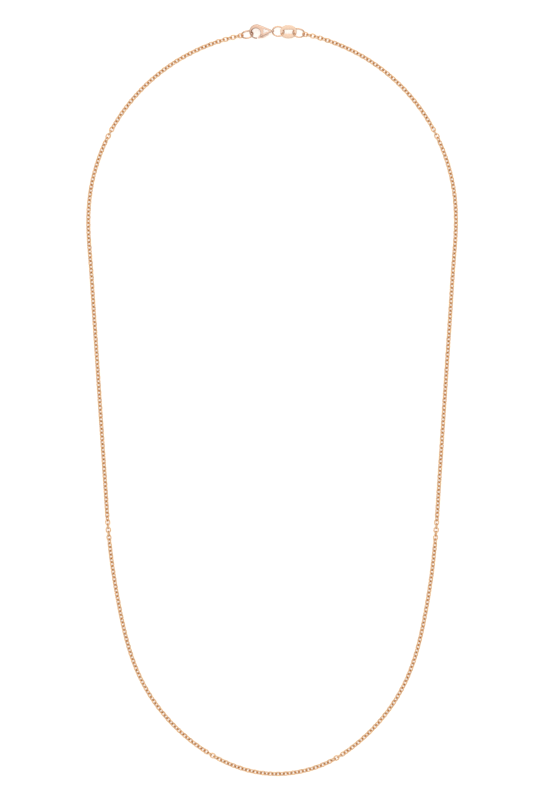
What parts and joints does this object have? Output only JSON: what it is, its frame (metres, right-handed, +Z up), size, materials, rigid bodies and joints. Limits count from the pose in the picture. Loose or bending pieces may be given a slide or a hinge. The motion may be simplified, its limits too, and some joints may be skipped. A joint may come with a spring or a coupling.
{
  "type": "cable chain necklace",
  "caption": "Closed fine cable-chain necklace of plain oval links with a pear-shaped trigger clasp, an oval slotted tag and closed jump rings, lying flat in a long loop.",
  "frame": {"origin": "centre of the loop's outline, on the plane the necklace lies on", "axes": "+Y from the middle of the loop towards the clasp, +X to the right seen from above, +Z up out of the resting plane"},
  "size_m": [0.102, 0.206, 0.0026],
  "materials": {
    "rose_gold": "polished 14 carat rose gold",
    "spring_steel": "plain drawn spring wire"
  },
  "bodies": {
    "front_run": {"front_run": "rose_gold"},
    "right_run_01": {"right_run_01": "rose_gold"},
    "left_run_01": {"left_run_01": "rose_gold"},
    "right_run_02": {"right_run_02": "rose_gold"},
    "left_run_02": {"left_run_02": "rose_gold"},
    "right_run_03": {"right_run_03": "rose_gold"},
    "left_run_03": {"left_run_03": "rose_gold"},
    "right_run_04": {"right_run_04": "rose_gold"},
    "left_run_04": {"left_run_04": "rose_gold"},
    "right_run_05": {"right_run_05": "rose_gold"},
    "left_run_05": {"left_run_05": "rose_gold"},
    "right_run_06": {"right_run_06": "rose_gold"},
    "left_run_06": {"left_run_06": "rose_gold"},
    "right_run_07": {"right_run_07": "rose_gold"},
    "left_run_07": {"left_run_07": "rose_gold"},
    "right_run_08": {"right_run_08": "rose_gold"},
    "left_run_08": {"left_run_08": "rose_gold"},
    "right_run_09": {"right_run_09": "rose_gold"},
    "left_run_09": {"left_run_09": "rose_gold"},
    "right_run_10": {"right_run_10": "rose_gold"},
    "left_run_10": {"left_run_10": "rose_gold"},
    "right_run_11": {"right_run_11": "rose_gold"},
    "left_run_11": {"left_run_11": "rose_gold"},
    "right_run_12": {"right_run_12": "rose_gold"},
    "left_run_12": {"left_run_12": "rose_gold"},
    "right_run_13": {"right_run_13": "rose_gold"},
    "left_run_13": {"left_run_13": "rose_gold"},
    "right_run_14": {"right_run_14": "rose_gold"},
    "left_run_14": {"left_run_14": "rose_gold"},
    "right_run_15": {"right_run_15": "rose_gold"},
    "left_run_15": {"left_run_15": "rose_gold"},
    "right_run_16": {"right_run_16": "rose_gold"},
    "left_run_16": {"left_run_16": "rose_gold"},
    "right_run_17": {"right_run_17": "rose_gold"},
    "left_run_17": {"left_run_17": "rose_gold"},
    "right_run_18": {"right_run_18": "rose_gold"},
    "left_run_18": {"left_run_18": "rose_gold"},
    "right_run_19": {"right_run_19": "rose_gold"},
    "left_run_19": {"left_run_19": "rose_gold"},
    "right_run_20": {"right_run_20": "rose_gold"},
    "left_run_20": {"left_run_20": "rose_gold"},
    "right_run_21": {"right_run_21": "rose_gold"},
    "left_run_21": {"left_run_21": "rose_gold"},
    "right_run_22": {"right_run_22": "rose_gold"},
    "left_run_22": {"left_run_22": "rose_gold"},
    "right_run_23": {"right_run_23": "rose_gold"},
    "left_run_23": {"left_run_23": "rose_gold"},
    "hook_ring": {"hook_ring": "rose_gold"},
    "clasp_ring": {"clasp_ring": "rose_gold"},
    "tag_ring": {"tag_ring": "rose_gold"},
    "tag": {"tag": "rose_gold"},
    "clasp_body": {"clasp_body": "rose_gold", "trigger_rivet": "rose_gold", "trigger_spring": "spring_steel"},
    "clasp_trigger": {"clasp_trigger": "rose_gold"}
  },
  "joints": [
    {"name": "right_fold_01", "type": "hinge", "parent": "front_run", "child": "right_run_01", "pos_m": [0.0053, -0.10223, 0.00058], "axis": [0.9998, -0.0218, 0], "range_deg": [-45, 45]},
    {"name": "left_fold_01", "type": "hinge", "parent": "front_run", "child": "left_run_01", "pos_m": [-0.00409, -0.10203, 0.00058], "axis": [0.9998, -0.0218, 0], "range_deg": [-45, 45]},
    {"name": "right_fold_02", "type": "hinge", "parent": "right_run_01", "child": "right_run_02", "pos_m": [0.01532, -0.09931, 0.00058], "axis": [-0.9998, 0.0213, 0], "range_deg": [-45, 45]},
    {"name": "left_fold_02", "type": "hinge", "parent": "left_run_01", "child": "left_run_02", "pos_m": [-0.01398, -0.09869, 0.00058], "axis": [-0.9998, 0.0213, 0], "range_deg": [-45, 45]},
    {"name": "right_fold_03", "type": "hinge", "parent": "right_run_02", "child": "right_run_03", "pos_m": [0.02401, -0.09351, 0.00058], "axis": [0.9999, -0.011, 0], "range_deg": [-45, 45]},
    {"name": "left_fold_03", "type": "hinge", "parent": "left_run_02", "child": "left_run_03", "pos_m": [-0.02276, -0.09299, 0.00058], "axis": [0.9999, -0.011, 0], "range_deg": [-45, 45]},
    {"name": "right_fold_04", "type": "hinge", "parent": "right_run_03", "child": "right_run_04", "pos_m": [0.03121, -0.08592, 0.00058], "axis": [-1, 0.0054, 0], "range_deg": [-45, 45]},
    {"name": "left_fold_04", "type": "hinge", "parent": "left_run_03", "child": "left_run_04", "pos_m": [-0.03015, -0.08559, 0.00058], "axis": [-1, 0.0054, 0], "range_deg": [-45, 45]},
    {"name": "right_fold_05", "type": "hinge", "parent": "right_run_04", "child": "right_run_05", "pos_m": [0.03667, -0.077, 0.00058], "axis": [1, -0.0027, 0], "range_deg": [-45, 45]},
    {"name": "left_fold_05", "type": "hinge", "parent": "left_run_04", "child": "left_run_05", "pos_m": [-0.03582, -0.0768, 0.00058], "axis": [1, -0.0027, 0], "range_deg": [-45, 45]},
    {"name": "right_fold_06", "type": "hinge", "parent": "right_run_05", "child": "right_run_06", "pos_m": [0.04014, -0.06713, 0.00058], "axis": [-1, 0.0013, 0], "range_deg": [-45, 45]},
    {"name": "left_fold_06", "type": "hinge", "parent": "left_run_05", "child": "left_run_06", "pos_m": [-0.03954, -0.06702, 0.00058], "axis": [-1, 0.0013, 0], "range_deg": [-45, 45]},
    {"name": "right_fold_07", "type": "hinge", "parent": "right_run_06", "child": "right_run_07", "pos_m": [0.04231, -0.05688, 0.00058], "axis": [1, -0.0008, 0], "range_deg": [-45, 45]},
    {"name": "left_fold_07", "type": "hinge", "parent": "left_run_06", "child": "left_run_07", "pos_m": [-0.04189, -0.05681, 0.00058], "axis": [1, -0.0008, 0], "range_deg": [-45, 45]},
    {"name": "right_fold_08", "type": "hinge", "parent": "right_run_07", "child": "right_run_08", "pos_m": [0.04391, -0.04652, 0.00058], "axis": [-1, 0.0004, 0], "range_deg": [-45, 45]},
    {"name": "left_fold_08", "type": "hinge", "parent": "left_run_07", "child": "left_run_08", "pos_m": [-0.04367, -0.04649, 0.00058], "axis": [-1, 0.0004, 0], "range_deg": [-45, 45]},
    {"name": "right_fold_09", "type": "hinge", "parent": "right_run_08", "child": "right_run_09", "pos_m": [0.04493, -0.03609, 0.00076], "axis": [1, -0.0002, 0], "range_deg": [-45, 45]},
    {"name": "left_fold_09", "type": "hinge", "parent": "left_run_08", "child": "left_run_09", "pos_m": [-0.04488, -0.03608, 0.00076], "axis": [1, -0.0002, 0], "range_deg": [-45, 45]},
    {"name": "right_fold_10", "type": "hinge", "parent": "right_run_09", "child": "right_run_10", "pos_m": [0.04562, -0.02563, 0.00058], "axis": [-1, 0.0001, 0], "range_deg": [-45, 45]},
    {"name": "left_fold_10", "type": "hinge", "parent": "left_run_09", "child": "left_run_10", "pos_m": [-0.04561, -0.02562, 0.00058], "axis": [-1, 0.0001, 0], "range_deg": [-45, 45]},
    {"name": "right_fold_11", "type": "hinge", "parent": "right_run_10", "child": "right_run_11", "pos_m": [0.0463, -0.01518, 0.00058], "axis": [1, -0.0001, 0], "range_deg": [-45, 45]},
    {"name": "left_fold_11", "type": "hinge", "parent": "left_run_10", "child": "left_run_11", "pos_m": [-0.0463, -0.01517, 0.00058], "axis": [1, -0.0001, 0], "range_deg": [-45, 45]},
    {"name": "right_fold_12", "type": "hinge", "parent": "right_run_11", "child": "right_run_12", "pos_m": [0.04699, -0.00472, 0.00058], "axis": [-1, 0.0001, 0], "range_deg": [-45, 45]},
    {"name": "left_fold_12", "type": "hinge", "parent": "left_run_11", "child": "left_run_12", "pos_m": [-0.04699, -0.00471, 0.00058], "axis": [-1, 0.0001, 0], "range_deg": [-45, 45]},
    {"name": "right_fold_13", "type": "hinge", "parent": "right_run_12", "child": "right_run_13", "pos_m": [0.04767, 0.00574, 0.00058], "axis": [1, -0.0001, 0], "range_deg": [-45, 45]},
    {"name": "left_fold_13", "type": "hinge", "parent": "left_run_12", "child": "left_run_13", "pos_m": [-0.04768, 0.00575, 0.00058], "axis": [1, -0.0001, 0], "range_deg": [-45, 45]},
    {"name": "right_fold_14", "type": "hinge", "parent": "right_run_13", "child": "right_run_14", "pos_m": [0.04835, 0.0162, 0.00058], "axis": [-1, 0.0001, 0], "range_deg": [-45, 45]},
    {"name": "left_fold_14", "type": "hinge", "parent": "left_run_13", "child": "left_run_14", "pos_m": [-0.04837, 0.01621, 0.00058], "axis": [-1, 0.0001, 0], "range_deg": [-45, 45]},
    {"name": "right_fold_15", "type": "hinge", "parent": "right_run_14", "child": "right_run_15", "pos_m": [0.04904, 0.02665, 0.00058], "axis": [1, -0.0001, 0], "range_deg": [-45, 45]},
    {"name": "left_fold_15", "type": "hinge", "parent": "left_run_14", "child": "left_run_15", "pos_m": [-0.04906, 0.02666, 0.00058], "axis": [1, -0.0001, 0], "range_deg": [-45, 45]},
    {"name": "right_fold_16", "type": "hinge", "parent": "right_run_15", "child": "right_run_16", "pos_m": [0.04972, 0.03711, 0.00058], "axis": [-1, 0.0001, 0], "range_deg": [-45, 45]},
    {"name": "left_fold_16", "type": "hinge", "parent": "left_run_15", "child": "left_run_16", "pos_m": [-0.04975, 0.03712, 0.00058], "axis": [-1, 0.0001, 0], "range_deg": [-45, 45]},
    {"name": "right_fold_17", "type": "hinge", "parent": "right_run_16", "child": "right_run_17", "pos_m": [0.05039, 0.04757, 0.00058], "axis": [1, -0.0001, 0], "range_deg": [-45, 45]},
    {"name": "left_fold_17", "type": "hinge", "parent": "left_run_16", "child": "left_run_17", "pos_m": [-0.05041, 0.04758, 0.00058], "axis": [1, -0.0001, 0], "range_deg": [-45, 45]},
    {"name": "right_fold_18", "type": "hinge", "parent": "right_run_17", "child": "right_run_18", "pos_m": [0.04977, 0.05801, 0.00058], "axis": [-1, 0, 0], "range_deg": [-45, 45]},
    {"name": "left_fold_18", "type": "hinge", "parent": "left_run_17", "child": "left_run_18", "pos_m": [-0.04969, 0.05802, 0.00058], "axis": [-1, 0, 0], "range_deg": [-45, 45]},
    {"name": "right_fold_19", "type": "hinge", "parent": "right_run_18", "child": "right_run_19", "pos_m": [0.04705, 0.06812, 0.00058], "axis": [1, 0.0002, 0], "range_deg": [-45, 45]},
    {"name": "left_fold_19", "type": "hinge", "parent": "left_run_18", "child": "left_run_19", "pos_m": [-0.04688, 0.06809, 0.00058], "axis": [1, 0.0002, 0], "range_deg": [-45, 45]},
    {"name": "right_fold_20", "type": "hinge", "parent": "right_run_19", "child": "right_run_20", "pos_m": [0.04235, 0.07746, 0.00058], "axis": [-1, -0.0008, 0], "range_deg": [-45, 45]},
    {"name": "left_fold_20", "type": "hinge", "parent": "left_run_19", "child": "left_run_20", "pos_m": [-0.04209, 0.0774, 0.00058], "axis": [-1, -0.0008, 0], "range_deg": [-45, 45]},
    {"name": "right_fold_21", "type": "hinge", "parent": "right_run_20", "child": "right_run_21", "pos_m": [0.03586, 0.08567, 0.00058], "axis": [1, 0.0017, 0], "range_deg": [-45, 45]},
    {"name": "left_fold_21", "type": "hinge", "parent": "left_run_20", "child": "left_run_21", "pos_m": [-0.03553, 0.08554, 0.00058], "axis": [1, 0.0017, 0], "range_deg": [-45, 45]},
    {"name": "right_fold_22", "type": "hinge", "parent": "right_run_21", "child": "right_run_22", "pos_m": [0.02785, 0.0924, 0.00058], "axis": [-1, -0.0036, 0], "range_deg": [-45, 45]},
    {"name": "left_fold_22", "type": "hinge", "parent": "left_run_21", "child": "left_run_22", "pos_m": [-0.02746, 0.0922, 0.00058], "axis": [-1, -0.0036, 0], "range_deg": [-45, 45]},
    {"name": "right_fold_23", "type": "hinge", "parent": "right_run_22", "child": "right_run_23", "pos_m": [0.01864, 0.09737, 0.00064], "axis": [1, 0.0077, 0], "range_deg": [-45, 45]},
    {"name": "left_fold_23", "type": "hinge", "parent": "left_run_22", "child": "left_run_23", "pos_m": [-0.01821, 0.09709, 0.00064], "axis": [1, 0.0077, 0], "range_deg": [-45, 45]},
    {"name": "tag_ring_roll", "type": "hinge", "parent": "right_run_23", "child": "tag_ring", "pos_m": [0.00729, 0.10067, 0.00133], "axis": [0.9781, -0.2082, 0], "range_deg": [-45, 5]},
    {"name": "tag_roll", "type": "hinge", "parent": "right_run_23", "child": "tag", "pos_m": [0.00447, 0.101, 0.00133], "axis": [1, 0, 0], "range_deg": [0, 30]},
    {"name": "clasp_ring_roll", "type": "hinge", "parent": "right_run_23", "child": "clasp_ring", "pos_m": [0.00164, 0.10109, 0.00133], "axis": [0.9983, -0.0578, 0], "range_deg": [-10, 2]},
    {"name": "clasp_roll", "type": "hinge", "parent": "right_run_23", "child": "clasp_body", "pos_m": [-0.00261, 0.10084, 0.00133], "axis": [0.9922, 0.1249, 0], "range_deg": [-3, 10]},
    {"name": "hook_ring_roll", "type": "hinge", "parent": "left_run_23", "child": "hook_ring", "pos_m": [-0.00685, 0.10023, 0.00133], "axis": [0.985, 0.1727, 0], "range_deg": [-40, 0]},
    {"name": "trigger_swing", "type": "hinge", "parent": "clasp_body", "child": "clasp_trigger", "pos_m": [-0.00293, 0.09996, 0.00133], "axis": [0, 0, -1], "range_deg": [0, 25], "deforming": ["trigger_spring"]}
  ],
  "couplings": [
    {"joint": "left_fold_01", "follows": "right_fold_01", "ratio": 1},
    {"joint": "left_fold_02", "follows": "right_fold_02", "ratio": 1},
    {"joint": "left_fold_03", "follows": "right_fold_03", "ratio": 1},
    {"joint": "left_fold_04", "follows": "right_fold_04", "ratio": 1},
    {"joint": "left_fold_05", "follows": "right_fold_05", "ratio": 1},
    {"joint": "left_fold_06", "follows": "right_fold_06", "ratio": 1},
    {"joint": "left_fold_07", "follows": "right_fold_07", "ratio": 1},
    {"joint": "left_fold_08", "follows": "right_fold_08", "ratio": 1},
    {"joint": "left_fold_09", "follows": "right_fold_09", "ratio": 1},
    {"joint": "left_fold_10", "follows": "right_fold_10", "ratio": 1},
    {"joint": "left_fold_11", "follows": "right_fold_11", "ratio": 1},
    {"joint": "left_fold_12", "follows": "right_fold_12", "ratio": 1},
    {"joint": "left_fold_13", "follows": "right_fold_13", "ratio": 1},
    {"joint": "left_fold_14", "follows": "right_fold_14", "ratio": 1},
    {"joint": "left_fold_15", "follows": "right_fold_15", "ratio": 1},
    {"joint": "left_fold_16", "follows": "right_fold_16", "ratio": 1},
    {"joint": "left_fold_17", "follows": "right_fold_17", "ratio": 1},
    {"joint": "left_fold_18", "follows": "right_fold_18", "ratio": 1},
    {"joint": "left_fold_19", "follows": "right_fold_19", "ratio": 1},
    {"joint": "left_fold_20", "follows": "right_fold_20", "ratio": 1},
    {"joint": "left_fold_21", "follows": "right_fold_21", "ratio": 1},
    {"joint": "left_fold_22", "follows": "right_fold_22", "ratio": 1},
    {"joint": "left_fold_23", "follows": "right_fold_23", "ratio": 1}
  ]
}
